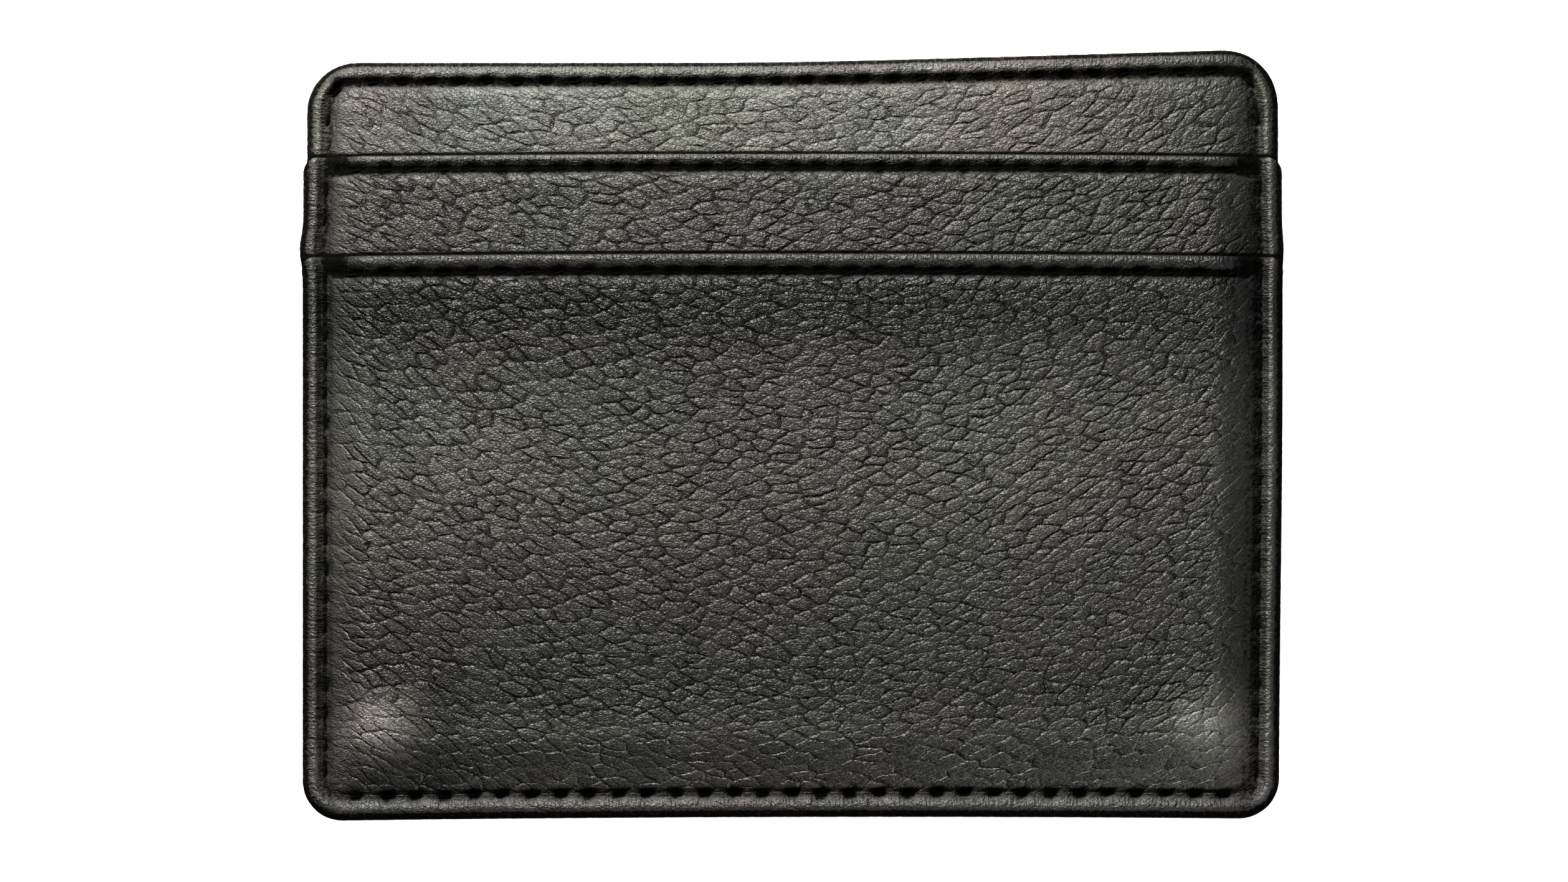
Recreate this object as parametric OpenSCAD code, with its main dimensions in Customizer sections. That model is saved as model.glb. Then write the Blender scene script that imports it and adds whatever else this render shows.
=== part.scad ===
// Slim card holder in black grained leather: two stacked card pockets on the front, the same two
// on the back, and a centre slot between the two panels. Millimetres. It lies on its back pocket:
// X runs across, Y from the bottom seam to the slot mouths, Z out of the front face.

/* [Outline] */
// Width across the side edges of the pockets
body_w = 101.6; // [99:0.1:110]
// Height from the bottom edge to the top edge of the panels
body_h = 78.5; // [74:0.1:90]
// Radius of the two top corners of each panel
top_corner_r = 5.0; // [3:0.25:8]
// Radius of the bottom corners
bottom_corner_r = 3.8; // [2:0.2:6]
// How far the side edges of the pockets stand past those of the panels
pocket_overhang = 0.3; // [0:0.05:0.6]

/* [Pockets] */
// Distance from the top edge of a panel down to the lip of its upper pocket
upper_lip_drop = 10.0; // [8:0.5:13]
// Distance from the top edge of a panel down to the lip of its lower pocket
lower_lip_drop = 20.4; // [19:0.2:30]
// Clear gap of each card slot
slot_gap = 0.85; // [0.8:0.05:1.6]
// Clear gap of the centre slot between the two panels
centre_gap = 1.0; // [0.8:0.1:3]
// Width of the folded-in leather margin at the sides and along the bottom
turned_edge_w = 5.0; // [4:0.1:6]

/* [Leather and lining] */
// Thickness of the panel leather
panel_leather = 0.70; // [0.5:0.05:1.2]
// Thickness of the pocket leather
pocket_leather = 0.60; // [0.5:0.05:1.0]
// Thickness of the lining cloth
lining_t = 0.15; // [0.1:0.05:0.3]
// Thickness of the stiffener sheet behind each panel
stiffener_t = 0.10; // [0.1:0.05:0.4]
// How far the leather is folded back behind a lip
hem_w = 8.0; // [6:0.5:9]
// How far linings and stiffeners stop short of the leather's outline
lining_inset = 1.0; // [0.5:0.1:1.5]

/* [Stitching] */
// Distance from one needle hole to the next
stitch_pitch = 3.0; // [2.6:0.1:4]
// Length of the visible run of thread between two needle holes
stitch_len = 2.3; // [1.6:0.1:2.5]
// Diameter of the sewing thread
thread_d = 0.34; // [0.2:0.02:0.4]
// Width of the pressed channel that the thread lies in
channel_w = 0.6; // [0.5:0.05:0.8]
// Depth of the pressed channel
channel_depth = 0.35; // [0.25:0.05:0.4]
// Distance from the side and bottom edges in to the seam's stitch line
seam_inset = 2.4; // [2:0.1:3]
// Distance from the top edge of a panel down to its stitch line
top_stitch_drop = 2.1; // [1.6:0.1:3]
// Distance from the lip of an upper pocket down to its stitch line
upper_stitch_drop = 1.5; // [1.2:0.1:2.5]
// Distance from the lip of a lower pocket down to its stitch line
lower_stitch_drop = 1.9; // [1.2:0.1:2.5]

/* [Hidden] */

// Heights of one half of the stack, measured out from the mid-plane of the centre slot
z_panel_lining = centre_gap / 2;
z_stiffener = z_panel_lining + lining_t;
z_panel = z_stiffener + stiffener_t;
z_panel_face = z_panel + panel_leather;
z_upper_lining = z_panel_face + slot_gap;
z_upper = z_upper_lining + lining_t;
z_upper_face = z_upper + pocket_leather;
z_lower_lining = z_upper_face + slot_gap;
z_lower = z_lower_lining + lining_t;
z_lower_face = z_lower + pocket_leather;

// Places along Y
y_bottom = -body_h / 2;
y_top = body_h / 2;
y_upper_lip = y_top - upper_lip_drop;
y_lower_lip = y_top - lower_lip_drop;
panel_w = body_w - 2 * pocket_overhang;
// A pocket's upper corners, and the gap that keeps two folded margins apart
lip_corner_r = 0.6;
hair = 0.05;
// Centre of the round corner that the stitch line makes
top_arc_r = top_corner_r - top_stitch_drop;
bottom_arc_r = max(bottom_corner_r - seam_inset, 0.8);

leather_colour = [0.13, 0.13, 0.12];
edge_colour = [0.10, 0.10, 0.10];
lining_colour = [0.20, 0.20, 0.22];
stiffener_colour = [0.55, 0.52, 0.46];
thread_colour = [0.05, 0.05, 0.05];

// ---- shared shapes ----

// What lies outside a round corner at (x, y) that points towards (sx, sy)
module corner_waste(x, y, sx, sy, r) {
    spare = 1;
    translate([x - sx * r, y - sy * r]) {
        difference() {
            translate([sx > 0 ? 0 : -r - spare, sy > 0 ? 0 : -r - spare])
                square(r + spare);
            circle(r, $fn = 64);
        }
    }
}

// Rectangle centred on X from y_low to y_high, with its own radius at each end
module outline(w, y_low, y_high, r_low, r_high) {
    difference() {
        translate([-w / 2, y_low])
            square([w, y_high - y_low]);
        for (side = [-1, 1]) {
            corner_waste(side * w / 2, y_low, side, -1, r_low);
            corner_waste(side * w / 2, y_high, side, 1, r_high);
        }
    }
}

// Flat sheet of that outline from z to z + t
module sheet(w, y_low, y_high, r_low, r_high, z, t) {
    translate([0, 0, z])
        linear_extrude(t)
            outline(w, y_low, y_high, r_low, r_high);
}

// Pressed channel in a face at height z, along the seam's line: both sides and the bottom
module seam_channel(w, y_high, z) {
    translate([0, 0, z - channel_depth]) {
        linear_extrude(channel_depth + 1) {
            difference() {
                outline(w - 2 * seam_inset + channel_w, y_bottom + seam_inset - channel_w / 2,
                        y_high, bottom_arc_r + channel_w / 2, 0.1);
                outline(w - 2 * seam_inset - channel_w, y_bottom + seam_inset + channel_w / 2,
                        y_high + 1, bottom_arc_r - channel_w / 2, 0.1);
            }
        }
    }
}

// Pressed channel in a face at height z, straight across at y
module lip_channel(y, z) {
    inner_w = body_w - 2 * seam_inset;
    translate([-inner_w / 2, y - channel_w / 2, z - channel_depth])
        cube([inner_w, channel_w, channel_depth + 1]);
}

// Run of thread lying flat, centred on (x, y) in a channel of the face at height z
module stitch(x, y, z, turn) {
    translate([x, y, z - channel_depth + thread_d / 2])
        rotate([0, 0, turn])
            rotate([0, 90, 0])
                cylinder(d = thread_d, h = stitch_len, center = true, $fn = 24);
}

// Stitches across, on one stitch line between the two seam lines
module stitch_row(w, y, z) {
    count = floor((w - 2 * seam_inset - stitch_pitch) / stitch_pitch);
    for (i = [0 : count - 1])
        stitch((i - (count - 1) / 2) * stitch_pitch, y, z, 0);
}

// ---- leather ----

// A pocket: its sheet, the leather folded back behind its lip, and its pressed channels
module pocket(y_lip, stitch_drop, z, hem_z) {
    difference() {
        union() {
            sheet(body_w, y_bottom, y_lip, bottom_corner_r, lip_corner_r, z, pocket_leather);
            sheet(body_w - 2 * turned_edge_w, y_lip - hem_w, y_lip, 0.5, 0.5,
                  hem_z, z - hem_z + pocket_leather / 2);
        }
        seam_channel(body_w, y_lip + 1, z + pocket_leather);
        lip_channel(y_lip - stitch_drop, z + pocket_leather);
    }
}

// A panel: its sheet, the leather folded back behind its top edge, and its pressed channels
module panel() {
    stitch_w = panel_w - 2 * (seam_inset - pocket_overhang);
    difference() {
        union() {
            sheet(panel_w, y_bottom, y_top, bottom_corner_r, top_corner_r, z_panel, panel_leather);
            sheet(panel_w - 2 * turned_edge_w, y_top - hem_w, y_top, 0.5, 0.5,
                  z_panel_lining, z_panel - z_panel_lining + panel_leather / 2);
        }
        translate([0, 0, z_panel_face - channel_depth]) {
            linear_extrude(channel_depth + 1) {
                difference() {
                    outline(stitch_w + channel_w, y_upper_lip,
                            y_top - top_stitch_drop + channel_w / 2, 0.1, top_arc_r + channel_w / 2);
                    outline(stitch_w - channel_w, y_upper_lip - 1,
                            y_top - top_stitch_drop - channel_w / 2, 0.1, top_arc_r - channel_w / 2);
                }
            }
        }
    }
}

// Leather margin folded in at both sides and along the bottom, filling a slot from z to z + t
module turned_edge(w, y_high, r_high, z, t) {
    inner_w = w - 2 * turned_edge_w;
    intersection() {
        sheet(w, y_bottom, y_high, bottom_corner_r, r_high, z, t);
        union() {
            for (side = [-1, 1])
                translate([side * (w / 2 - turned_edge_w / 2), 0, z + t / 2])
                    cube([turned_edge_w, body_h + 2, t + 1], center = true);
            translate([-inner_w / 2 + hair, y_bottom - 1, z - 0.5])
                cube([inner_w - 2 * hair, turned_edge_w + 1, t + 1]);
        }
    }
}

// ---- lining and stiffener ----

// Cloth lining of a pocket, from inside the bottom seam up to the folded hem
module pocket_lining(y_lip, z) {
    sheet(body_w - 2 * lining_inset, y_bottom + lining_inset, y_lip - hem_w - hair,
          bottom_corner_r - lining_inset, 0.5, z, lining_t);
}

// Cloth lining of a panel, and with it one wall of the centre slot
module panel_lining() {
    sheet(panel_w - 2 * lining_inset, y_bottom + lining_inset, y_top - hem_w - hair,
          bottom_corner_r - lining_inset, 0.5, z_panel_lining, lining_t);
}

// Thin sheet glued to the back of the panel leather to keep it flat
module stiffener() {
    sheet(panel_w - 2 * lining_inset, y_bottom + lining_inset, y_top - hem_w - hair,
          bottom_corner_r - lining_inset, 0.5, z_stiffener, stiffener_t);
}

// ---- thread ----

// Stitches along a panel's top edge, round its corners and down to the upper lip
module top_stitches() {
    stitch_w = panel_w - 2 * (seam_inset - pocket_overhang);
    y_line = y_top - top_stitch_drop;
    straight_w = stitch_w - 2 * top_arc_r;
    count = floor(straight_w / stitch_pitch);
    for (i = [0 : count - 1])
        stitch((i - (count - 1) / 2) * stitch_pitch, y_line, z_panel_face, 0);
    for (side = [-1, 1]) {
        // One stitch lies across each corner, and the rest run down the side
        corner_x = side * (stitch_w / 2 - top_arc_r * (1 - sin(45)));
        corner_y = y_line - top_arc_r * (1 - sin(45));
        stitch(corner_x - side * 0.1, corner_y - 0.1, z_panel_face, -side * 45);
        for (y = [y_line - top_arc_r - stitch_len / 2 : -stitch_pitch : y_upper_lip + stitch_len / 2])
            stitch(side * stitch_w / 2, y, z_panel_face, 90);
    }
}

// Height of the outermost leather face at y
function face_z(y) = y < y_lower_lip ? z_lower_face : z_upper_face;

// True where a stitch lies clear of the step at the lower lip and stays below the upper lip
function stitch_clear(y) = abs(y - y_lower_lip) > stitch_len / 2 + hair
    && y + stitch_len / 2 < y_upper_lip - hair;

// Stitches of the seam that joins every layer: up both sides and along the bottom
module seam_stitches() {
    side_x = body_w / 2 - seam_inset;
    y_line = y_bottom + seam_inset;
    first_y = y_line + bottom_arc_r + stitch_len / 2;
    bottom_w = 2 * (side_x - bottom_arc_r);
    count = floor(bottom_w / stitch_pitch);
    for (i = [0 : count - 1])
        stitch((i - (count - 1) / 2) * stitch_pitch, y_line, z_lower_face, 0);
    for (side = [-1, 1])
        for (y = [first_y : stitch_pitch : y_upper_lip])
            if (stitch_clear(y))
                stitch(side * side_x, y, face_z(y), 90);
}

// ---- the two halves ----

half_t = z_lower_face;

module on_front() {
    translate([0, 0, half_t])
        children();
}

module on_back() {
    translate([0, 0, half_t])
        mirror([0, 0, 1])
            children();
}

module lower_pocket() {
    color(leather_colour)
        pocket(y_lower_lip, lower_stitch_drop, z_lower, z_lower_lining);
}

module lower_pocket_turned_edge() {
    color(edge_colour)
        turned_edge(body_w, y_lower_lip, lip_corner_r, z_upper_face, slot_gap);
}

module lower_pocket_lining() {
    color(lining_colour)
        pocket_lining(y_lower_lip, z_lower_lining);
}

module lower_lip_thread() {
    color(thread_colour)
        stitch_row(body_w, y_lower_lip - lower_stitch_drop, z_lower_face);
}

module upper_pocket() {
    color(leather_colour)
        pocket(y_upper_lip, upper_stitch_drop, z_upper, z_upper_lining);
}

module upper_pocket_turned_edge() {
    color(edge_colour)
        turned_edge(body_w, y_upper_lip, lip_corner_r, z_panel_face, slot_gap);
}

module upper_pocket_lining() {
    color(lining_colour)
        pocket_lining(y_upper_lip, z_upper_lining);
}

module upper_lip_thread() {
    color(thread_colour)
        stitch_row(body_w, y_upper_lip - upper_stitch_drop, z_upper_face);
}

module panel_leather_sheet() {
    color(leather_colour)
        panel();
}

module panel_turned_edge() {
    color(edge_colour)
        turned_edge(panel_w, y_top, top_corner_r, hair / 2, z_panel_lining - hair / 2);
}

module panel_stiffener() {
    color(stiffener_colour)
        stiffener();
}

module panel_cloth() {
    color(lining_colour)
        panel_lining();
}

module panel_top_thread() {
    color(thread_colour)
        top_stitches();
}

module seam_thread() {
    color(thread_colour)
        seam_stitches();
}

on_front() lower_pocket();  // front_lower_pocket
on_front() lower_pocket_turned_edge();  // front_lower_pocket_turned_edge
on_front() lower_pocket_lining();  // front_lower_pocket_lining
on_front() lower_lip_thread();  // front_lower_lip_thread
on_front() upper_pocket();  // front_upper_pocket
on_front() upper_pocket_turned_edge();  // front_upper_pocket_turned_edge
on_front() upper_pocket_lining();  // front_upper_pocket_lining
on_front() upper_lip_thread();  // front_upper_lip_thread
on_front() panel_leather_sheet();  // front_panel
on_front() panel_turned_edge();  // front_panel_turned_edge
on_front() panel_stiffener();  // front_panel_stiffener
on_front() panel_cloth();  // front_panel_lining
on_front() panel_top_thread();  // front_panel_top_thread
on_front() seam_thread();  // seam_needle_thread
on_back() lower_pocket();  // back_lower_pocket
on_back() lower_pocket_turned_edge();  // back_lower_pocket_turned_edge
on_back() lower_pocket_lining();  // back_lower_pocket_lining
on_back() lower_lip_thread();  // back_lower_lip_thread
on_back() upper_pocket();  // back_upper_pocket
on_back() upper_pocket_turned_edge();  // back_upper_pocket_turned_edge
on_back() upper_pocket_lining();  // back_upper_pocket_lining
on_back() upper_lip_thread();  // back_upper_lip_thread
on_back() panel_leather_sheet();  // back_panel
on_back() panel_turned_edge();  // back_panel_turned_edge
on_back() panel_stiffener();  // back_panel_stiffener
on_back() panel_cloth();  // back_panel_lining
on_back() panel_top_thread();  // back_panel_top_thread
on_back() seam_thread();  // seam_bobbin_thread
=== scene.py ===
"""Looks of a slim leather card holder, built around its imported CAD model.

Each leather sheet is a closed height field that sinks into the seams, with rolled edges, pressed
stitch channels, a dip at each stitch and a pebbled grain. Lengths are in millimetres until a mesh
is written, in metres. The floor and the lights are in metres.
"""
import math
from types import SimpleNamespace

import bmesh
import bpy
import numpy as np
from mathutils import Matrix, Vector


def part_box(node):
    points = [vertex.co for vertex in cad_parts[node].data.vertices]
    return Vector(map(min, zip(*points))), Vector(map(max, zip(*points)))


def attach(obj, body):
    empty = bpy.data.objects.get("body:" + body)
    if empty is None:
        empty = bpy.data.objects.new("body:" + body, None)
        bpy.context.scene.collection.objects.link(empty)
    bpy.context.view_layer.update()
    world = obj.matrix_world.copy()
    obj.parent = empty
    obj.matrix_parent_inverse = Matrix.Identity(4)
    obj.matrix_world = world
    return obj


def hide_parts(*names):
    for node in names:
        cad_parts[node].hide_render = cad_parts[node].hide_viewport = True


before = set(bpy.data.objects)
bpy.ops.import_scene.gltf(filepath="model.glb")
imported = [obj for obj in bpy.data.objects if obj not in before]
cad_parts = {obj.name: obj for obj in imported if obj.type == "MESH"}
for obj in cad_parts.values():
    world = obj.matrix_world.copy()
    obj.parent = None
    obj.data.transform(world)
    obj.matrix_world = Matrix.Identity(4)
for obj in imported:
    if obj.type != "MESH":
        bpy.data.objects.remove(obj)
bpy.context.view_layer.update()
M = 0.001  # metres in a millimetre

# ---- sizes from the frame ----


def box_mm(node):
    low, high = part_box(node)
    return np.array(low) / M, np.array(high) / M


LOWER_LO, LOWER_HI = box_mm("front_lower_pocket")
UPPER_HI = box_mm("front_upper_pocket")[1]
PANEL_HI = box_mm("front_panel")[1]
MID_Z = (LOWER_HI[2] + box_mm("back_lower_pocket")[0][2]) / 2
Y_BOTTOM = LOWER_LO[1]
THREAD_LO, THREAD_HI = box_mm("front_lower_lip_thread")
THREAD_R = (THREAD_HI[1] - THREAD_LO[1]) / 2
SEAM_INSET = LOWER_HI[0] - box_mm("seam_needle_thread")[1][0] + THREAD_R  # edge to stitch line
LOWER_LINE = THREAD_HI[1] - THREAD_R
UPPER_LINE = box_mm("front_upper_lip_thread")[1][1] - THREAD_R
TOP_LINE = box_mm("front_panel_top_thread")[1][1] - THREAD_R

# ---- how the leather lies ----

FLANK = 5.2  # width of the slope from the side seams up to the flat
FLANK_BOTTOM = 6.8  # the same along the bottom seam
ROLL_W = 1.35  # width of a rolled edge
LIP_T = 0.95  # thickness of a folded lip
LIP_ROLL_W = 0.62  # width of the roll along a lip
LIP_DROP = 0.55 * LIP_T  # how far that roll turns down
BEAD_IN, BEAD_R = 1.30, 0.38  # middle and half width of the bead between the edge and the seam
BEAD_H, BEAD_SIDE_H = 0.13, 0.14  # its height, and what the sides have on top of that
CHANNEL_R = 0.72  # half width of the channel that a stitch line presses
CHANNEL_DEPTH = 0.42
PIT_LONG, PIT_WIDE, PIT_DEPTH = 0.84, 0.52, 0.42  # the dip that each stitch pulls
PIT_SIDE_LESS = 0.35  # share of its depth that a dip lacks in the side seams
EDGE_GRAIN = 0.22  # strength of the grain where the leather is stretched over an edge

# Painted shade where shade falls in the seams, at the lips and edges, from 0 to 1
SEAM_DARK, SEAM_SIDE_DARK = 0.45, 0.20  # along the bottom, and what the sides have on top
LINE_DARK, LINE_R = 0.80, 0.52  # along a lip's stitch line, and half that band's width
LIP_END_DARK = 0.80  # where a lip runs into a side seam
PIT_DARK, PIT_SIDE_DARK = 0.88, 0.16  # in a dip, and what the sides have less
FLANK_DARK = 0.52  # the most that the slopes beside the side seams get

# face_z and pressed_z are the face's heights above the mid-plane, in the open and at the seam.
# covered_to is the lip of the sheet in front. mounds are (distance below the top, radius, height).
LAYERS = {
    "lower_pocket": SimpleNamespace(
        half_w=LOWER_HI[0], y_top=LOWER_HI[1], face_z=LOWER_HI[2] - MID_Z, pressed_z=2.85,
        leather=0.62, edge_t=1.0, edge_drop=0.85, r_low=4.2, r_high=1.7,
        line=LOWER_LINE, is_panel=False, covered_to=None, mounds=((30.5, 13, 0.60), (0, 7, 0.35)),
        grain=1.0, spacing=0.29, hide_shift=(0.0, 0.0)),
    "upper_pocket": SimpleNamespace(
        half_w=UPPER_HI[0], y_top=UPPER_HI[1], face_z=UPPER_HI[2] - MID_Z, pressed_z=1.85,
        leather=0.62, edge_t=0.62, edge_drop=0.50, r_low=4.2, r_high=1.7,
        line=UPPER_LINE, is_panel=False, covered_to=LOWER_HI[1], mounds=((13, 9, 0.40),),
        grain=0.9, spacing=0.27, hide_shift=(37.0, 91.0)),
    "panel": SimpleNamespace(
        half_w=PANEL_HI[0], y_top=PANEL_HI[1], face_z=PANEL_HI[2] - MID_Z, pressed_z=1.22,
        leather=0.72, edge_t=1.15, edge_drop=0.75, r_low=4.2, r_high=5.2,
        line=TOP_LINE, is_panel=True, covered_to=UPPER_HI[1], mounds=((13, 9, 0.40),),
        grain=0.8, spacing=0.27, hide_shift=(83.0, 17.0)),
}
BACK_SPACING = 0.42  # between the mesh points of the back's leather
COVERED_SPACING = 2.4  # between the rows that another sheet covers
COVERED_OVERLAP = 3.0  # how far the close rows go on under the lip in front
BACK_HIDE_SHIFT = 211  # the back is cut from another part of the hide

SWELLS = (  # (x, y, radius, height) of soft mounds in the filled leather
    (-42.4, Y_BOTTOM + 9.8, 3.8, 0.62),
    (42.0, Y_BOTTOM + 10.2, 4.2, 0.50),
    (-44.5, PANEL_HI[1] - 6.0, 3.6, 0.22),
)
HIGHLIGHT_SPOTS = (  # (x, distance below the top edge, radius, strength) of painted highlights on the mounds near the corners
    (-42.4, 69.2, 3.2, 5.0),
    (43.5, 69.0, 4.0, 4.4),
    (-43.5, 6.5, 3.4, 0.9),
)

# Rings in which a sheet's edge turns down and runs back in behind: (inset, share of the way down,
# painted shade in the crevice between sheets). The first ones can be seen from the side, and the
# others are at the back of the sheet.
SEEN_RINGS = ((0.07, 0.50, 0.10), (0.26, 0.87, 0.0), (0.55, 1.0, 0.2))
HIDDEN_RINGS = tuple((inset, 1.0, 0.95) for inset in (1.2, 2.2, 3.4, 4.6, 5.8, 7.0, 8.2, 9.6))
RING_PAINTED_LIGHT = 2.5  # painted light on the seen ones
RING_STEP = 0.35  # hide from one ring to the next


def owner(y):
    """The layer that shows at height y of the holder."""
    if y < LOWER_HI[1]:
        return "lower_pocket"
    return "upper_pocket" if y < UPPER_HI[1] else "panel"


def smooth(t):
    t = np.clip(t, 0, 1)
    return t * t * (3 - 2 * t)


def bell(t):
    return np.exp(-t * t)


def soft_plus(t, width):
    return width * np.logaddexp(0, t / width)


def band(distance, half_width, soft=0.5):
    """1 inside a band and 0 outside it, with a short change at its edge."""
    return smooth((half_width + soft / 2 - np.abs(distance)) / soft)


def settle(x, y):
    """Where a point of the flat pattern really lies: used leather isn't quite straight."""
    up = (y - Y_BOTTOM) / (PANEL_HI[1] - Y_BOTTOM)
    bow_low = -0.30 * (x / 50) ** 2 + 0.12 * x / 50
    bow_lips = 0.30 * (1 - (x / 50) ** 2)
    rise_top = 0.029 * soft_plus(x, 5.0) - 0.10
    near_top = smooth((up - 0.88) / 0.12)
    near_low = 1 - smooth(up / 0.6)
    dy = near_low * bow_low + (1 - near_top) * (1 - near_low) * bow_lips + near_top * rise_top
    dy = dy - 0.35 * near_top * smooth((x - 44) / 6)  # the right top corner hangs
    dx = smooth(x / 50) * (0.10 - 0.38 * near_low)
    lip_ends = bell((y - LOWER_HI[1] - 0.8) / 2.0)  # the sides bulge at the lower lip
    dx = dx + lip_ends * (0.18 * smooth((x - 44) / 6) - 0.38 * smooth((-x - 44) / 6))
    return x + dx, y + dy


def outline_inset(layer, y):
    """How far the outline is in from the full width at height y, at its round corners."""
    below = np.clip(Y_BOTTOM + layer.r_low - y, 0, layer.r_low)
    above = np.clip(y - (layer.y_top - layer.r_high), 0, layer.r_high)
    return (layer.r_low - np.sqrt(layer.r_low**2 - below**2)
            + layer.r_high - np.sqrt(layer.r_high**2 - above**2))


def edge_distance(layer, x, y):
    """Distance in from the sewn outline: the sides and the bottom, and a panel's top too."""
    mid = (Y_BOTTOM + layer.y_top) / 2
    half_h = (layer.y_top - Y_BOTTOM) / 2
    low = y < mid
    r = np.where(low, layer.r_low, layer.r_high if layer.is_panel else layer.r_low)
    qx = np.abs(x) - (layer.half_w - r)
    qy = np.where(low, mid - y, y - mid) - (half_h - r)
    if not layer.is_panel:
        qy = np.where(low, qy, -half_h)
    outside = np.hypot(np.maximum(qx, 0), np.maximum(qy, 0))
    return r - outside - np.minimum(np.maximum(qx, qy), 0)


def opening(layer, x, y):
    """0 where the seam presses the layers together, 1 where they lie as the CAD has them."""
    side = layer.half_w - np.abs(x)
    return (smooth((side - SEAM_INSET + 0.2) / FLANK)
            * smooth((y - Y_BOTTOM - SEAM_INSET + 0.2) / FLANK_BOTTOM))


def level(layer, x, y):
    """Height of the face above the mid-plane, without rolls, channels or grain."""
    lift = sum(h * bell(np.hypot(x - sx, y - sy) / r) for sx, sy, r, h in SWELLS)
    mound = sum(h * bell((layer.y_top - y - at) / r) for at, r, h in layer.mounds)
    is_open = opening(layer, x, y)
    return layer.pressed_z + (layer.face_z - layer.pressed_z) * is_open + lift + mound * is_open


def thickness(layer, x, y):
    d = edge_distance(layer, x, y)
    t = layer.leather + (layer.edge_t - layer.leather) * (1 - smooth((d - SEAM_INSET) / 2.5))
    if not layer.is_panel:
        hem = 1 - smooth((layer.y_top - y - 7.5) / 1.0)
        t = np.maximum(t, layer.leather + (LIP_T - layer.leather) * hem)
    return t


def rolled(d, width, drop):
    """Drop of an edge that turns down over the given width."""
    t = np.clip(1 - d / width, 0, 1)
    return drop * (1 - np.sqrt(1 - t * t))


def painted_light_at(x, y):
    """Painted light and shade on the leather's face: above 0 the base colour is painted lighter,
    below 0 darker than plain leather.
    """
    down = PANEL_HI[1] - y
    # painted light: lighter bands across the middle, the top strips and the bottom, and painted
    # highlights at the spots
    middle = bell((down - 42 + 0.04 * x) / 10) * (
        0.45 + 0.50 * bell((x + 37) / 12) + 0.30 * bell((x - 19) / 14))
    top = (2.2 * smooth((11 - down) / 2) + 0.4 * smooth((22.5 - down) / 2)) * (
        1 - 0.85 * smooth((x - 6) / 44) - 0.50 * smooth((-x - 25) / 25))
    bottom = 0.55 * bell((down - 70) / 4.5) + 0.5 * smooth((down - 71.5) / 3)
    spots = sum(much * bell(np.hypot(x - sx, down - sd) / r) for sx, sd, r, much in HIGHLIGHT_SPOTS)
    # painted shade below the lower lip, above the bottom, at the left bottom corner and along the
    # right side
    under_lip = (0.75 + 0.30 * bell((x - 2) / 18)) * bell((down - 26) / 4.5)
    above_bottom = 0.36 * bell((down - 66) / 4)
    left_corner = 0.9 * bell(np.hypot((x + 39) / 7, (down - 74.2) / 2.4))
    right_side = 0.40 * smooth((x - 38) / 9)
    lighter = middle + top + bottom + spots
    return lighter - under_lip - above_bottom - left_corner - right_side


def painted_shade_at(layer, x, y, d):
    """Painted shade of the seams, the lips and the outer edge, at distance d from the edge."""
    side = layer.half_w - np.abs(x)
    # painted shade on the slopes beside the side seams, with more on the right
    flank = 0.40 * bell((side - 3.1) / 0.8) + 0.40 * smooth((x - 42.5) / 5) * smooth(side - 2)
    # painted shade where the edge rolls down, wider along the bottom and the sides
    low_or_side = np.maximum(smooth((2.6 - y + Y_BOTTOM) / 1.2), 0.6 * smooth((2.6 - side) / 1.2))
    outer = (1 - smooth((d - 0.28 - 0.35 * low_or_side) / 0.55)) * (0.35 + 0.42 * smooth(d / 0.2))
    # painted shade in the channel that the seam presses, more at the sides
    seam = (SEAM_DARK + SEAM_SIDE_DARK * smooth((3.2 - side) / 0.4)) * band(d - SEAM_INSET, 0.42)
    # painted shade along a lip's stitch line
    line = LINE_DARK * band(y - layer.line - 0.05, LINE_R)
    if layer.is_panel:
        line = line * smooth(side - 2)
    else:
        line = line * smooth((d - SEAM_INSET) / 1.5)
    dark = np.maximum.reduce([seam, outer, np.minimum(flank, FLANK_DARK), line])
    if not layer.is_panel:
        # painted shade where a lip runs into a side seam
        end = smooth((np.abs(x) - 43.5) / 3.5) * smooth(side - 1.6)
        at_lip = 1 - smooth((layer.y_top - y - 1.8) / 0.6)
        dark = np.maximum(dark, LIP_END_DARK * end * at_lip)
    if layer.covered_to is not None:
        # painted shadow on this sheet just under the lip of the sheet in front
        dark = np.maximum(dark, 1 - smooth((y - layer.covered_to - 0.15) / 0.40))
    return dark


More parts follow.
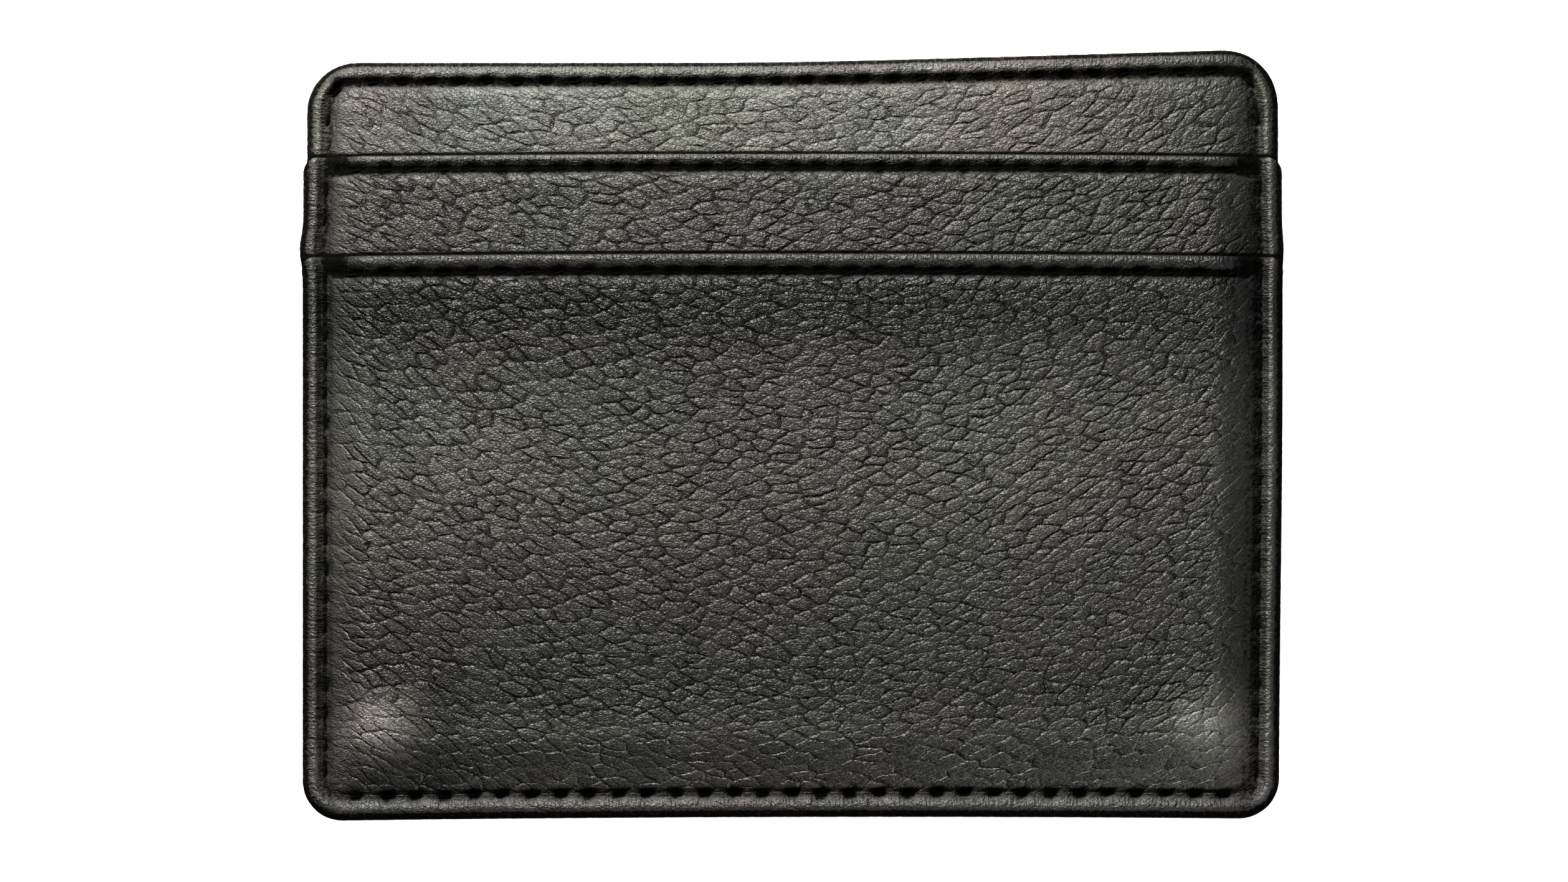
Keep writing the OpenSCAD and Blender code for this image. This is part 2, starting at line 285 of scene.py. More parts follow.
def face(layer, x, y, stitches):
    """The leather's face: height above the mid-plane, grain strength, painted shade, edge bead."""
    d = edge_distance(layer, x, y)
    side = layer.half_w - np.abs(x)
    bead = bell((d - BEAD_IN) / BEAD_R)
    z = level(layer, x, y) - rolled(d, ROLL_W, layer.edge_drop)
    z = z + (BEAD_H + BEAD_SIDE_H * smooth((4 - side) / 1.5)) * bead
    in_channel = bell((d - SEAM_INSET) / CHANNEL_R)
    grain = smooth((side - SEAM_INSET - 0.2) / 3.6) * smooth((d - SEAM_INSET - 0.1) / 0.6)
    if not layer.is_panel:
        z = z - rolled(layer.y_top - y, LIP_ROLL_W, LIP_DROP)
        on_line = bell((y - layer.line) / CHANNEL_R) * smooth((d - SEAM_INSET) / 1.5)
        in_channel = np.maximum(in_channel, on_line)
        grain = grain * smooth((layer.line - y - 0.1) / 0.5)
    z = z - CHANNEL_DEPTH * in_channel
    dark = painted_shade_at(layer, x, y, d)
    for s in stitches:
        near = (np.abs(x - s.x) < 4) & (np.abs(y - s.y) < 4)
        if near.any():
            along = (x[near] - s.x) * s.cos + (y[near] - s.y) * s.sin
            across = (y[near] - s.y) * s.cos - (x[near] - s.x) * s.sin
            pit = np.exp(-(along / PIT_LONG) ** 4 - (across / s.wide) ** 2)
            z[near] -= s.deep * (1 - PIT_SIDE_LESS * abs(s.sin)) * pit
            # painted shade in each stitch's dip, less in the side seams
            pit_shade = (PIT_DARK - PIT_SIDE_DARK * abs(s.sin)) * smooth(1.05 * pit)
            dark[near] = np.maximum(dark[near], pit_shade)
    return z, EDGE_GRAIN + (layer.grain - EDGE_GRAIN) * grain, dark, bead


# ---- stitches, from the CAD's thread ----


def stitch_places(node):
    """Middle and direction of each stitch of a CAD thread node."""
    bm = bmesh.new()
    bm.from_mesh(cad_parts[node].data)
    bmesh.ops.remove_doubles(bm, verts=bm.verts, dist=1e-6)
    waiting, places = set(bm.verts), []
    while waiting:
        stack, island = [waiting.pop()], []
        while stack:
            v = stack.pop()
            island.append(v.co / M)
            for e in v.link_edges:
                other = e.other_vert(v)
                if other in waiting:
                    waiting.remove(other)
                    stack.append(other)
        p = np.array(island)
        middle = (p.min(0) + p.max(0)) / 2
        size = p.max(0) - p.min(0)
        angle = math.atan2(size[1], size[0])
        far = p[np.argmax(p[:, 0] + 1e-3 * p[:, 1])]
        if far[1] < middle[1] - 0.3 and size[0] > 0.6 and size[1] > 0.6:
            angle = -angle
        places.append((middle[0], middle[1], angle))
    bm.free()
    places.sort(key=lambda s: (round(s[1], 2), s[0]))
    return places


def loosened(places, seed):
    """Stitches with the small unevenness of a sewing machine on soft leather."""
    rng = np.random.default_rng(seed)
    made = []
    for x, y, angle in places:
        turn = angle + rng.normal(0, math.radians(3))
        made.append(SimpleNamespace(
            x=x + rng.normal(0, 0.06), y=y + rng.normal(0, 0.06),
            cos=math.cos(turn), sin=math.sin(turn),
            wide=PIT_WIDE * rng.uniform(0.85, 1.2), deep=PIT_DEPTH * rng.uniform(0.75, 1.2)))
    return made


# ---- leather meshes ----

ROLL_STEPS = 7  # mesh lines over a roll


def ruled(length, spacing, roll_low, roll_high):
    """Positions from 0 to length, closer together over the rolls at each end."""
    turn = np.linspace(0, math.pi / 2, ROLL_STEPS)
    low = roll_low * (1 - np.cos(turn))
    high = length - roll_high * (1 - np.cos(turn))[::-1]
    count = max(2, round((length - roll_low - roll_high) / spacing))
    return np.concatenate([low[:-1], np.linspace(low[-1], high[0], count), high[1:]])


def leather_rows(layer, spacing):
    """Y positions of a sheet's rows: close together where it shows, far apart where covered."""
    top_roll = ROLL_W if layer.is_panel else LIP_ROLL_W
    rows = ruled(layer.y_top - Y_BOTTOM, spacing, ROLL_W, top_roll)
    if layer.covered_to is not None:
        covered = layer.covered_to - COVERED_OVERLAP - Y_BOTTOM
        sparse = ruled(covered, COVERED_SPACING, ROLL_W, 0.6)
        rows = np.concatenate([sparse[:-ROLL_STEPS], rows[rows > covered]])
    return Y_BOTTOM + rows


def write_mesh(name, points, faces, attributes, material):
    mesh = bpy.data.meshes.new(name)
    mesh.from_pydata((points * M).tolist(), [], faces)
    for key, (kind, values) in attributes.items():
        data = mesh.attributes.new(key, kind, "POINT").data
        data.foreach_set("vector" if kind == "FLOAT_VECTOR" else "value",
                         np.asarray(values, np.float32).ravel())
    mesh.polygons.foreach_set("use_smooth", np.ones(len(mesh.polygons), bool))
    mesh.update()
    mesh.validate()
    obj = bpy.data.objects.new(name, mesh)
    bpy.context.scene.collection.objects.link(obj)
    mesh.materials.append(material)
    return obj


def grid_faces(rows, cols):
    i, j = np.meshgrid(np.arange(rows - 1), np.arange(cols - 1), indexing="ij")
    a = (i * cols + j).ravel()
    return np.stack([a, a + 1, a + cols + 1, a + cols], 1)


def grid_edge(rows, cols):
    """The grid's outer points, in order round it."""
    index = np.arange(rows * cols).reshape(rows, cols)
    return np.concatenate([index[0, :-1], index[:-1, -1], index[-1, :0:-1], index[:0:-1, 0]])


def ring_faces(first, second):
    a, b = first, np.roll(first, -1)
    c, d = np.roll(second, -1), second
    return np.stack([b, a, d, c], 1)


def leather_sheet(name, layer, side, stitches, spacing, material):
    """Closed leather sheet. side is 1 for the front of the holder and -1 for its back."""
    y_rows = leather_rows(layer, spacing)
    x_cols = ruled(2 * layer.half_w, spacing, ROLL_W, ROLL_W) - layer.half_w
    rows, cols = len(y_rows), len(x_cols)
    y = np.repeat(y_rows, cols)
    x = np.tile(x_cols, rows) * (1 - outline_inset(layer, y) / layer.half_w)
    z, grain, dark, bead = face(layer, x, y, stitches)
    edge = grid_edge(rows, cols)
    centre_y, half_h = (Y_BOTTOM + layer.y_top) / 2, (layer.y_top - Y_BOTTOM) / 2
    points, hides = [np.stack([x, y, z], 1)], [np.stack([x, y], 1)]
    grains, darks = [grain], [dark]
    faces = [grid_faces(rows, cols)]
    ring, wrapped = edge, 0.0
    on_face = rows * cols
    next_index = on_face
    for inset, down, ring_shade in SEEN_RINGS + HIDDEN_RINGS:
        rx = x[edge] * (layer.half_w - inset) / layer.half_w
        ry = centre_y + (y[edge] - centre_y) * (half_h - inset) / half_h
        inner = level(layer, rx, ry) - thickness(layer, rx, ry)
        wrapped += RING_STEP
        new = np.arange(next_index, next_index + len(edge))
        next_index += len(edge)
        points.append(np.stack([rx, ry, z[edge] + (inner - z[edge]) * down], 1))
        grains.append(np.full(len(edge), EDGE_GRAIN))
        darks.append(np.full(len(edge), ring_shade))
        hides.append(np.stack([x[edge] + np.sign(x[edge]) * wrapped, y[edge] - wrapped], 1))
        faces.append(ring_faces(ring, new))
        ring = new
    points, hides = np.concatenate(points), np.concatenate(hides)
    settled_x, settled_y = settle(points[:, 0], points[:, 1])
    world = np.stack([settled_x, settled_y, MID_Z + side * points[:, 2]], 1)
    # painted light and shade, which scale the base colour
    painted_light = painted_light_at(points[:, 0], points[:, 1])
    # painted light on the rings that can be seen from the side
    painted_light[on_face:on_face + len(SEEN_RINGS) * len(edge)] = RING_PAINTED_LIGHT
    # painted highlight along the crest of the bead, stronger at the sides and most on the right
    bead_highlight = np.where(np.abs(x) > layer.half_w - 3, 1.2 + 0.9 * (x > 0), 0.1)
    painted_light[:on_face] += bead**2 * bead_highlight
    shift = np.array(layer.hide_shift) + (0 if side > 0 else BACK_HIDE_SHIFT)
    hide = np.column_stack([hides + shift, np.zeros(len(hides))])
    lean = np.column_stack([hides, np.zeros(len(hides))])
    polygons = [tuple(f) for f in np.concatenate(faces).tolist()] + [tuple(ring[::-1].tolist())]
    if side < 0:
        polygons = [f[::-1] for f in polygons]
    return write_mesh(name, world, polygons, {
        "hide": ("FLOAT_VECTOR", hide), "lean": ("FLOAT_VECTOR", lean),
        "grain": ("FLOAT", np.concatenate(grains)),
        "dark": ("FLOAT", np.concatenate(darks)), "painted_light": ("FLOAT", painted_light)}, material)


# ---- node helpers, shared by the grain's geometry and its material ----


class Net:
    """Short names for making nodes in a shader or geometry tree."""

    def __init__(self, tree):
        self.tree = tree

    def node(self, kind, inputs=None, **settings):
        n = self.tree.nodes.new(kind)
        for key, value in settings.items():
            setattr(n, key, value)
        for key, value in (inputs or {}).items():
            self.feed(n.inputs[key], value)
        return n

    def feed(self, socket, value):
        if isinstance(value, bpy.types.NodeSocket):
            self.tree.links.new(value, socket)
        else:
            socket.default_value = value

    def math(self, operation, a, b=0.0, c=0.0, clamp=False):
        n = self.node("ShaderNodeMath", operation=operation, use_clamp=clamp)
        for socket, value in zip(n.inputs, (a, b, c)):
            self.feed(socket, value)
        return n.outputs[0]

    def times(self, a, b):
        return self.math("MULTIPLY", a, b)

    def times_plus(self, a, b, c, clamp=False):
        return self.math("MULTIPLY_ADD", a, b, c, clamp)

    def scale(self, vector, factors):
        return self.node("ShaderNodeVectorMath", {0: vector, 1: factors},
                         operation="MULTIPLY").outputs[0]

    def add(self, a, b):
        return self.node("ShaderNodeVectorMath", {0: a, 1: b}, operation="ADD").outputs[0]

    def blend(self, factor, a, b):
        return self.node("ShaderNodeMix", {"Factor": factor, "A": a, "B": b},
                         data_type="RGBA").outputs["Result"]

    def ramp(self, value, low, high, out_low=0.0, out_high=1.0):
        n = self.node("ShaderNodeMapRange", {
            "Value": value, "From Min": low, "From Max": high, "To Min": out_low,
            "To Max": out_high}, interpolation_type="SMOOTHSTEP")
        return n.outputs[0]

    def noise(self, vector, scale, detail=2.0, rough=0.5, out="Fac"):
        n = self.node("ShaderNodeTexNoise", {
            "Vector": vector, "Scale": scale, "Detail": detail, "Roughness": rough},
            noise_dimensions="2D")
        return n.outputs["Color" if out == "Color" else 0]

    def slant(self, vector, a, b):
        """Coordinates whose unit squares are diamonds 1/a wide and 1/b tall."""
        p = self.node("ShaderNodeSeparateXYZ", {"Vector": vector})
        u, v = self.times(p.outputs[0], a), self.times(p.outputs[1], b)
        return self.node("ShaderNodeCombineXYZ", {
            "X": self.math("ADD", v, u), "Y": self.math("SUBTRACT", v, u)}).outputs[0]

    def dome(self, distance, reach):
        """1 in the middle of a cell and 0 at its edge, steepest at the edge."""
        t = self.math("SUBTRACT", 1.0, self.math("DIVIDE", distance, reach), clamp=True)
        return self.math("SUBTRACT", 1.0, self.math("POWER", t, 2.2))

    def cells(self, vector, feature, out="Distance"):
        n = self.node("ShaderNodeTexVoronoi", {
            "Vector": vector, "Scale": 1.0, "Randomness": 0.75},
            voronoi_dimensions="2D", feature=feature)
        return n.outputs[out]


# ---- pebbled grain ----

ARC = -0.0055  # times x squared: bends the rows of pebbles up towards the sides
WARPS = (  # (noise scale, detail, reach in mm across and down) that make the pebbles irregular
    (0.05, 1.0, (4.0, 2.6)),
    (0.40, 1.0, (1.1, 0.6)),
    (1.8, 2.0, (0.42, 0.28)),
)
LARGE_CELL, SMALL_CELL = (0.29, 0.60), (0.80, 1.7)  # cells per mm across and down
PEBBLE_H = 0.10
DOME_REACH, BEAD_REACH, BEAD_SHARE = 0.25, 0.40, 0.20  # the fine cells add a share of the height
PEBBLE_TOP = 0.85  # the height, as a share, that stays where the plain surface was


def grain_pattern(net, hide, lean):
    """Pebbled leather from its pattern coordinates in mm: slanting cells that follow wide arcs."""
    across = net.node("ShaderNodeSeparateXYZ", {"Vector": lean}).outputs[0]
    arc = net.times(net.times(across, across), ARC)
    bent = net.add(hide, net.node("ShaderNodeCombineXYZ", {"Y": arc}).outputs[0])
    for scale, detail, reach in WARPS:
        push = net.add(net.noise(hide, scale, detail, 0.5, "Color"), (-0.5, -0.5, -0.5))
        bent = net.add(bent, net.scale(push, (*reach, 0.0)))
    slanted = net.slant(bent, *LARGE_CELL)
    small = net.slant(bent, *SMALL_CELL)
    return SimpleNamespace(
        bent=bent,
        large_edge=net.cells(slanted, "DISTANCE_TO_EDGE"),
        large_tone=net.cells(slanted, "F1", "Color"),
        small_edge=net.cells(small, "DISTANCE_TO_EDGE"))


def grain_modifier():
    """Geometry nodes that raise the pebbles on a leather mesh."""
    tree = bpy.data.node_groups.new("pebbles", "GeometryNodeTree")
    tree.interface.new_socket("Geometry", in_out="INPUT", socket_type="NodeSocketGeometry")
    tree.interface.new_socket("Geometry", in_out="OUTPUT", socket_type="NodeSocketGeometry")
    net = Net(tree)

    def named(key, kind):
        return net.node("GeometryNodeInputNamedAttribute", {"Name": key},
                        data_type=kind).outputs[0]

    pattern = grain_pattern(net, named("hide", "FLOAT_VECTOR"), named("lean", "FLOAT_VECTOR"))
    mound = net.dome(pattern.large_edge, DOME_REACH)
    bead = net.times(net.dome(pattern.small_edge, BEAD_REACH), BEAD_SHARE)
    height = net.math("SUBTRACT", net.math("ADD", mound, bead), PEBBLE_TOP)
    height = net.times(height, named("grain", "FLOAT"))
    normal = net.node("GeometryNodeInputNormal").outputs[0]
    lift = net.node("ShaderNodeVectorMath", {
        0: normal, "Scale": net.times(height, PEBBLE_H * M)}, operation="SCALE")
    source = net.node("NodeGroupInput")
    moved = net.node("GeometryNodeSetPosition", {
        "Geometry": source.outputs[0], "Offset": lift.outputs[0]})
    sink = net.node("NodeGroupOutput")
    tree.links.new(moved.outputs[0], sink.inputs[0])
    return tree


def raise_grain(obj, tree):
    """Applies the pebbles, so that the mesh itself has them."""
    modifier = obj.modifiers.new("pebbles", "NODES")
    modifier.node_group = tree
    depsgraph = bpy.context.evaluated_depsgraph_get()
    made = bpy.data.meshes.new_from_object(
        obj.evaluated_get(depsgraph), preserve_all_data_layers=True, depsgraph=depsgraph)
    obj.modifiers.clear()
    old, obj.data = obj.data, made
    bpy.data.meshes.remove(old)
    made.name = obj.name


# ---- materials ----

HIDE_COLOUR = (0.016, 0.0156, 0.0142, 1.0)
SHADE_COLOUR = (0.0026, 0.0027, 0.0024, 1.0)  # painted shade: near black in the grain's creases, the seams and other recesses
CREASE_W, FINE_CREASE_W, GROOVE_W = 0.034, 0.08, 0.17  # as shares of a cell: widths of the creases' painted shade, of the fine creases, and of the grooves in the bump
GROOVE_DEPTH, FINE_CREASE_DEPTH = 0.15, 0.04
LUMP_H, MICRO_H, WRINKLE_H = 0.12, 0.080, 0.11
WRINKLES_FROM, WRINKLES_TO = 47.6, 48.8  # x at which wrinkles turn to run round the side edges
ROUGH, ROUGH_WIDE, ROUGH_FINE = 0.40, 0.10, 0.14  # the base, and what wide and fine noise add
ROUGH_SHADED, ROUGH_PAINTED_LIGHT = 0.65, 0.01


def new_material(name):
    material = bpy.data.materials.new(name)
    material.use_nodes = True
    tree = material.node_tree
    tree.nodes.clear()
    net = Net(tree)
    out = net.node("ShaderNodeOutputMaterial")
    surface = net.node("ShaderNodeBsdfPrincipled")
    tree.links.new(surface.outputs[0], out.inputs[0])
    return material, net, surface


def leather_relief(net, pattern, hide, lean, strength, depth, fine_crease):
    """Height in mm for the bump: grooves, fine creases, lumps, and wrinkles over the edges."""
    groove = net.times(net.ramp(pattern.large_edge, 0.0, GROOVE_W, 1.0, 0.0), depth)
    relief = net.times(net.times(groove, strength), -GROOVE_DEPTH)
    relief = net.times_plus(net.times(fine_crease, strength), -FINE_CREASE_DEPTH, relief)
    lumps = net.noise(net.scale(pattern.bent, (0.8, 1.25, 1.0)), 1.9, 2.0, 0.55)
    relief = net.times_plus(lumps, LUMP_H, relief)
    micro = net.noise(net.scale(hide, (0.75, 1.2, 1.0)), 5.0, 1.0, 0.6)
    relief = net.times_plus(micro, MICRO_H, relief)
    along = net.node("ShaderNodeSeparateXYZ", {"Vector": lean}).outputs[0]
    wrinkle = net.node("ShaderNodeMix", {
        "Factor": net.ramp(net.math("ABSOLUTE", along), WRINKLES_FROM, WRINKLES_TO),
        "A": net.noise(net.scale(hide, (3.4, 0.7, 1.0)), 1.0, 1.0),
        "B": net.noise(net.scale(hide, (0.7, 3.4, 1.0)), 1.0, 1.0)}, data_type="FLOAT")
    at_edge = net.ramp(strength, EDGE_GRAIN, 0.40, 1.0, 0.0)
    return net.times_plus(wrinkle.outputs["Result"], net.times(at_edge, WRINKLE_H), relief)


def leather_material():
    material, net, surface = new_material("black_pebbled_leather")

    def named(key):
        return net.node("ShaderNodeAttribute", attribute_name=key)

    hide, lean = named("hide").outputs["Vector"], named("lean").outputs["Vector"]
    strength = named("grain").outputs["Fac"]
    # the attribute dark holds painted shade of the seams, lips and edges; the other holds painted
    # light and shade
    edge_shade, painted_light = named("dark").outputs["Fac"], named("painted_light").outputs["Fac"]
    pattern = grain_pattern(net, hide, lean)
    depth = net.ramp(net.noise(pattern.bent, 0.33, 2.0), 0.36, 0.62, 0.25, 0.95)
    crease = net.times(net.ramp(pattern.large_edge, 0.0, CREASE_W, 1.0, 0.0), depth)
    fine_crease = net.ramp(pattern.small_edge, 0.0, FINE_CREASE_W, 1.0, 0.0)
    relief = leather_relief(net, pattern, hide, lean, strength, depth, fine_crease)
    bump = net.node("ShaderNodeBump", {"Strength": 1.0, "Distance": M, "Height": relief})
    # painted shade: 1 in the grain's creases and in the painted shade of the seams, lips and
    # edges, whose outlines are ragged
    ragged = net.times_plus(net.noise(hide, 2.2, 2.0, 0.6), 0.6, edge_shade)
    edge_shade = net.math("MAXIMUM", net.ramp(ragged, 0.60, 1.10), net.times(edge_shade, 0.7))
    painted_shade = net.times_plus(fine_crease, 0.34, net.times(crease, strength))
    painted_shade = net.math("MAXIMUM", painted_shade, net.times(edge_shade, 0.9), clamp=True)
    tone = net.node("ShaderNodeMix", {
        "Factor": 0.16, "A": HIDE_COLOUR, "B": net.noise(hide, 0.045, 2.0, 0.5, "Color")},
        data_type="RGBA", blend_type="OVERLAY")
    speckle = net.ramp(net.noise(hide, 5.0, 2.0, 0.7), 0.34, 0.62, 0.6, 1.4)
    each = net.node("ShaderNodeSeparateColor", {"Color": pattern.large_tone}).outputs[0]
    # the painted light and shade and the random speckle and tone of each pebble scale the base
    # colour
    light = net.times(speckle, net.times_plus(painted_light, 1.1, 0.75))
    light = net.times(light, net.times_plus(each, 0.5, 0.75))
    speckled = net.node("ShaderNodeVectorMath", {
        0: tone.outputs["Result"], "Scale": light}, operation="SCALE").outputs[0]
    rough = net.times_plus(net.noise(hide, 0.5, 3.0), ROUGH_WIDE, ROUGH)
    rough = net.times_plus(painted_light, ROUGH_PAINTED_LIGHT, rough)
    rough = net.times_plus(net.noise(hide, 4.2, 2.0), ROUGH_FINE, rough)
    rough = net.times_plus(painted_shade, ROUGH_SHADED, rough, clamp=True)
    facing = net.node("ShaderNodeLayerWeight", {"Blend": 0.5}).outputs["Facing"]
    # the specular level drops in the painted shade and at grazing angles
    shine = net.times(net.ramp(painted_shade, 0.0, 1.0, 0.5, 0.05),
                      net.ramp(facing, 0.50, 0.95, 1.0, 0.03))
    # the base colour goes to the painted shade colour in the creases and recesses
    net.feed(surface.inputs["Base Color"], net.blend(painted_shade, speckled, SHADE_COLOUR))
    net.feed(surface.inputs["Roughness"], rough)
    net.feed(surface.inputs["Normal"], bump.outputs[0])
    net.feed(surface.inputs["Specular IOR Level"], shine)
    return material


def position_mm(net):
    where = net.node("ShaderNodeNewGeometry").outputs["Position"]
    return net.scale(where, (1 / M, 1 / M, 1 / M))


def fibre_material(name, pattern, dark, light, relief, rough, others):
    """Cloth, board or thread, coloured from dark to light along a pattern in mm.

    relief is (strength, height in mm), rough is (roughness, what the pattern adds) and others has
    the surface's other values.
    """
    material, net, surface = new_material(name)
    height = pattern(net)
    bump = net.node("ShaderNodeBump", {
        "Strength": relief[0], "Distance": relief[1] * M, "Height": height})
    net.feed(surface.inputs["Base Color"], net.blend(height, (*dark, 1), (*light, 1)))
    net.feed(surface.inputs["Roughness"], net.times_plus(height, rough[1], rough[0]))
    net.feed(surface.inputs["Normal"], bump.outputs[0])
    for key, value in others.items():
        net.feed(surface.inputs[key], value)
    return material


def weave(net):
    mm = position_mm(net)
    warp, weft = [
        net.node("ShaderNodeTexWave", {"Vector": mm, "Scale": 1.1, "Distortion": 0.4},
                 bands_direction=way).outputs["Fac"] for way in ("X", "Y")]
    return net.math("MAXIMUM", warp, weft)


def board_fibres(net):
    return net.noise(net.scale(position_mm(net), (0.5, 2.5, 1.0)), 1.2, 4.0, 0.6)


def thread_fuzz(net):
    return net.noise(position_mm(net), 9.0, 3.0, 0.6)


# ---- thread, linings and stiffeners ----

STITCH_HALF = 1.12  # half the length of a stitch
STITCH_DIVE = 0.42  # how far its ends go down into the leather
STITCH_TWIST = 3.4  # radians that its three strands turn from the middle to an end
AROUND, ALONG = 15, 11  # mesh points round a stitch and along it
INNER_SPACING = 1.6  # between the mesh points of a lining or stiffener
INNER_CORNER_R = 3.0
LINING_T, STIFFENER_T, SHEET_GAP = 0.12, 0.10, 0.02


def thread_piece(name, stitches, side, material):
    """Twisted stitches, each lying in its dip and diving into the leather at both ends."""
    points, faces = [], []
    t = np.linspace(-1, 1, ALONG)
    theta = np.linspace(0, 2 * math.pi, AROUND, endpoint=False)
    for s in stitches:
        base = face(LAYERS[owner(s.y)], np.array([s.x]), np.array([s.y]), [s])[0][0]
        lift = base + THREAD_R * 0.05 - STITCH_DIVE * np.abs(t) ** 3
        radius = THREAD_R * 1.05 * (1 - 0.25 * np.abs(t) ** 4)
        strands = 3 * (theta[None, :] + t[:, None] * STITCH_TWIST)
        r = radius[:, None] * (1 + 0.14 * np.cos(strands))
        a, b = np.cos(theta)[None, :] * r, np.sin(theta)[None, :] * r
        px = s.x + t[:, None] * STITCH_HALF * s.cos - a * s.sin
        py = s.y + t[:, None] * STITCH_HALF * s.sin + a * s.cos
        pz = lift[:, None] + b
        x, y = settle(px, py)
        first = sum(len(p) for p in points)
        points.append(np.stack([x, y, MID_Z + side * pz], 2).reshape(-1, 3))
        for i in range(ALONG - 1):
            row = first + i * AROUND + np.arange(AROUND)
            nxt = first + i * AROUND + (np.arange(AROUND) + 1) % AROUND
            quads = np.stack([row, nxt, nxt + AROUND, row + AROUND], 1).tolist()
            faces += [q[::side] for q in quads]
        faces.append(list(range(first, first + AROUND))[::-side])
        last = first + (ALONG - 1) * AROUND
        faces.append(list(range(last, last + AROUND))[::side])
    return write_mesh(name, np.concatenate(points), faces, {}, material)


def inner_sheet(name, layer, side, node, gap, t, material):
    """Thin sheet, as large as a CAD node, that follows the leather's back into the seams."""
    low, high = box_mm(node)
    xs = np.linspace(-high[0], high[0], round(2 * high[0] / INNER_SPACING))
    ys = np.linspace(low[1], high[1], round((high[1] - low[1]) / INNER_SPACING))
    rows, cols = len(ys), len(xs)
    y = np.repeat(ys, cols)
    r = INNER_CORNER_R
    below = np.clip(low[1] + r - y, 0, r)
    x = np.tile(xs, rows) * (1 - (r - np.sqrt(r * r - below * below)) / high[0])
    top = level(layer, x, y) - thickness(layer, x, y) - gap
    sx, sy = settle(x, y)
    upper = np.stack([sx, sy, MID_Z + side * top], 1)
    lower = np.stack([sx, sy, MID_Z + side * (top - t)], 1)
    quads = grid_faces(rows, cols)
    edge = grid_edge(rows, cols)
    rim = ring_faces(edge, edge + rows * cols)
    faces = quads.tolist() + (quads[:, ::-1] + rows * cols).tolist() + rim.tolist()
    if side < 0:
        faces = [f[::-1] for f in faces]
    return write_mesh(name, np.concatenate([upper, lower]), faces, {}, material)


# ---- the pieces ----

leather = leather_material()
cloth = fibre_material(
    "black_lining_cloth", weave, (0.008, 0.008, 0.009), (0.028, 0.028, 0.031),
    relief=(0.8, 0.05), rough=(0.8, -0.15), others={"Sheen Weight": 0.2})
board = fibre_material(
    "stiffener_board", board_fibres, (0.20, 0.18, 0.15), (0.38, 0.35, 0.31),
    relief=(0.5, 0.05), rough=(0.8, 0.1), others={})
sewing = fibre_material(
    "black_sewing_thread", thread_fuzz, (0.001, 0.001, 0.001), (0.006, 0.006, 0.0065),
    relief=(0.6, 0.04), rough=(0.8, 0.1), others={"Specular IOR Level": 0.03})
pebbles = grain_modifier()


def add(piece, slot, *nodes):
    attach(piece, "root")
    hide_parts(*nodes)


def make_side(side, face_name, seam, seed):
    """The pieces of one side of the holder: 1 and "front", or -1 and "back"."""
    nodes = (f"{face_name}_lower_lip_thread", f"{face_name}_upper_lip_thread",
             f"{face_name}_panel_top_thread", seam)
    threads = {node: loosened(stitch_places(node), seed + i) for i, node in enumerate(nodes)}
    for name, layer in LAYERS.items():
        node = f"{face_name}_{name}"
        own = [s for run in threads.values() for s in run if owner(s.y) == name]
        spacing = layer.spacing if side > 0 else BACK_SPACING
        sheet = leather_sheet(f"{node}_leather", layer, side, own, spacing, leather)
        raise_grain(sheet, pebbles)
        add(sheet, "leather_black", node, f"{node}_turned_edge")
        gap = STIFFENER_T + 2 * SHEET_GAP if layer.is_panel else SHEET_GAP
        lining = inner_sheet(f"{node}_cloth", layer, side, f"{node}_lining", gap, LINING_T, cloth)
        add(lining, "lining_black", f"{node}_lining")
    stiffener = inner_sheet(f"{face_name}_stiffener_sheet", LAYERS["panel"], side,
                            f"{face_name}_panel_stiffener", SHEET_GAP, STIFFENER_T, board)
    add(stiffener, "stiffener_grey", f"{face_name}_panel_stiffener")
    for node, run in threads.items():
        add(thread_piece(f"{node}_twisted", run, side, sewing), "thread_black", node)


make_side(1, "front", "seam_needle_thread", seed=10)
make_side(-1, "back", "seam_bobbin_thread", seed=20)

# ---- floor, light and camera, in metres unless mm is named ----

FLOOR_RIMS = ((3.0, 0.0), (3.3, 0.12), (3.4, 1.6))  # (half width, height)
FLOOR_GLOW = 0.80
VIEW_W = 161.761  # width of the view at the leather's face, in mm: the holder fills 62.8% of it
VIEW_X, VIEW_Y = -0.84, -0.22  # middle of the view, in mm
CAMERA_UP = 0.45  # camera above the leather's face
WORLD_GLOW = 0.03


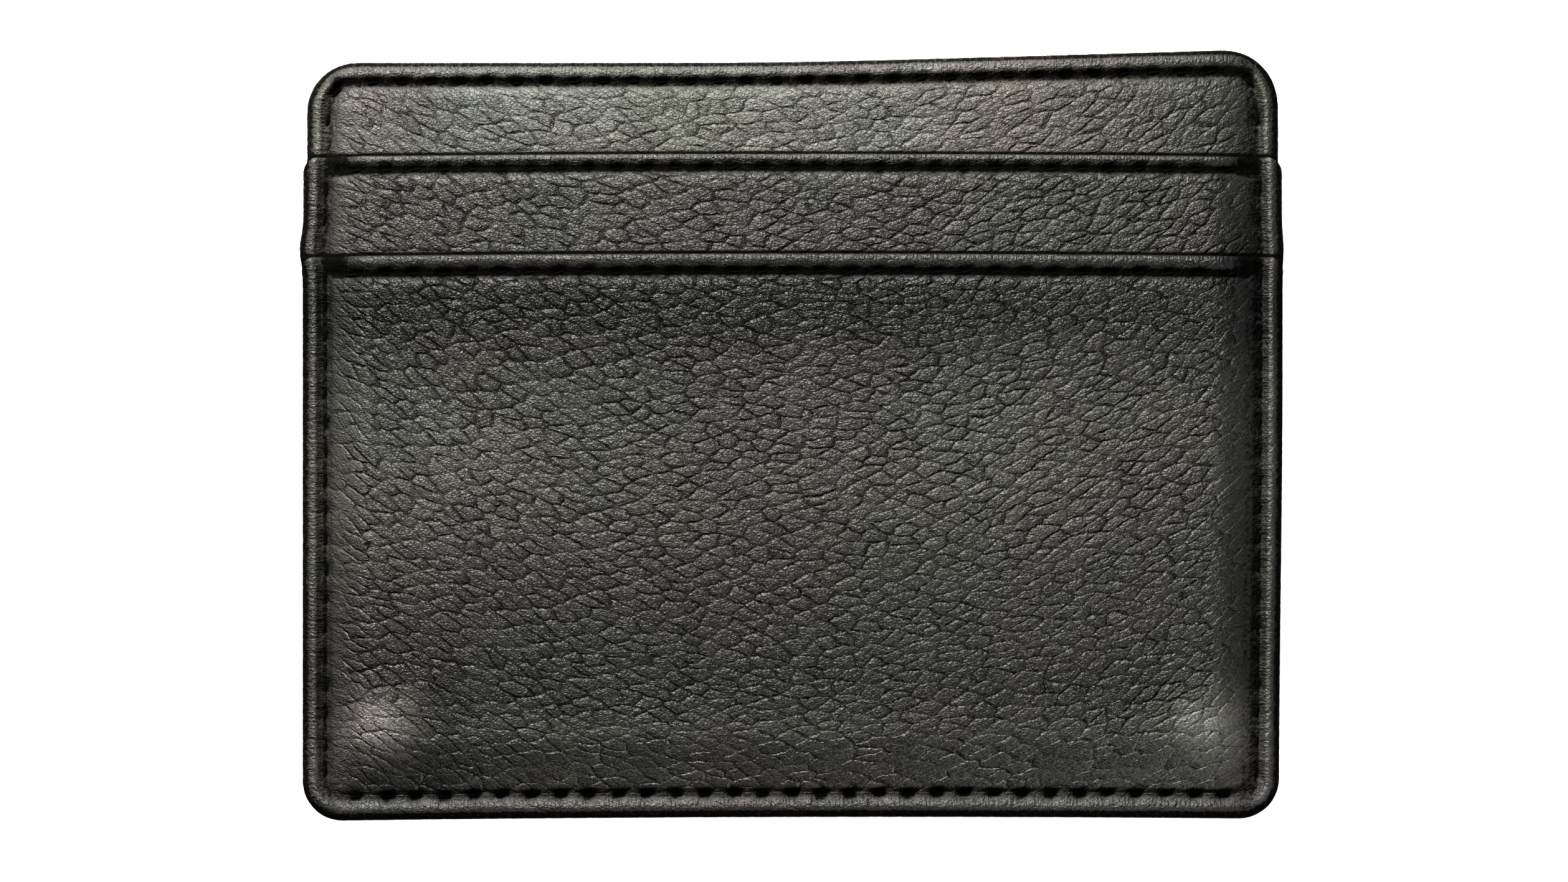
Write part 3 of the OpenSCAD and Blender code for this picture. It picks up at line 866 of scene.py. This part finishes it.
def add_floor():
    """Pale floor whose far edges turn up, so that it is the background of low views too."""
    bm = bmesh.new()
    rims = []
    for size, height in FLOOR_RIMS:
        corners = ((-size, -size), (size, -size), (size, size), (-size, size))
        rims.append([bm.verts.new((x, y, height)) for x, y in corners])
    bm.faces.new(rims[0])
    for low, high in zip(rims, rims[1:]):
        for i in range(4):
            bm.faces.new((low[i], high[i], high[i - 3], low[i - 3]))
    mesh = bpy.data.meshes.new("floor")
    bm.to_mesh(mesh)
    bm.free()
    material, net, surface = new_material("pale_floor")
    surface.inputs["Base Color"].default_value = (0.93, 0.93, 0.93, 1)
    surface.inputs["Roughness"].default_value = 0.9
    surface.inputs["Emission Color"].default_value = (1, 1, 1, 1)
    surface.inputs["Emission Strength"].default_value = FLOOR_GLOW
    mesh.materials.append(material)
    floor = bpy.data.objects.new("floor", mesh)
    # The floor looks white but throws no light up onto the holder's dark edges
    floor.visible_diffuse = False
    floor.visible_glossy = False
    bpy.context.scene.collection.objects.link(floor)


def add_light(name, place, size, watts, colour=(1, 1, 1)):
    """Softbox that points at the holder."""
    data = bpy.data.lights.new(name, "AREA")
    data.shape = "RECTANGLE"
    data.size, data.size_y = size
    data.energy = watts
    data.color = colour
    light = bpy.data.objects.new(name, data)
    light.location = place
    light.rotation_euler = (-Vector(place)).to_track_quat("-Z", "Y").to_euler()
    bpy.context.scene.collection.objects.link(light)


def add_camera():
    """Camera straight above the holder."""
    data = bpy.data.cameras.new("camera")
    data.sensor_width = 36.0
    data.lens = data.sensor_width * CAMERA_UP / (VIEW_W * M)
    camera = bpy.data.objects.new("camera", data)
    camera.location = (VIEW_X * M, VIEW_Y * M, LOWER_HI[2] * M + CAMERA_UP)
    bpy.context.scene.collection.objects.link(camera)
    bpy.context.scene.camera = camera


add_floor()
add_light("key_softbox", (-0.16, 0.44, 0.38), (0.17, 0.15), 11.4, (1.0, 0.985, 0.945))
add_light("low_fill", (0.40, -0.50, 0.045), (0.40, 0.06), 3.2)
add_light("far_fill", (-0.55, 0.30, 0.045), (0.40, 0.06), 1.4)
add_camera()
world = bpy.data.worlds.new("studio")
world.use_nodes = True
world.node_tree.nodes["Background"].inputs["Color"].default_value = (1, 1, 1, 1)
world.node_tree.nodes["Background"].inputs["Strength"].default_value = WORLD_GLOW
bpy.context.scene.world = world
bpy.context.scene.view_settings.view_transform = "Standard"
bpy.context.scene.view_settings.look = "High Contrast"
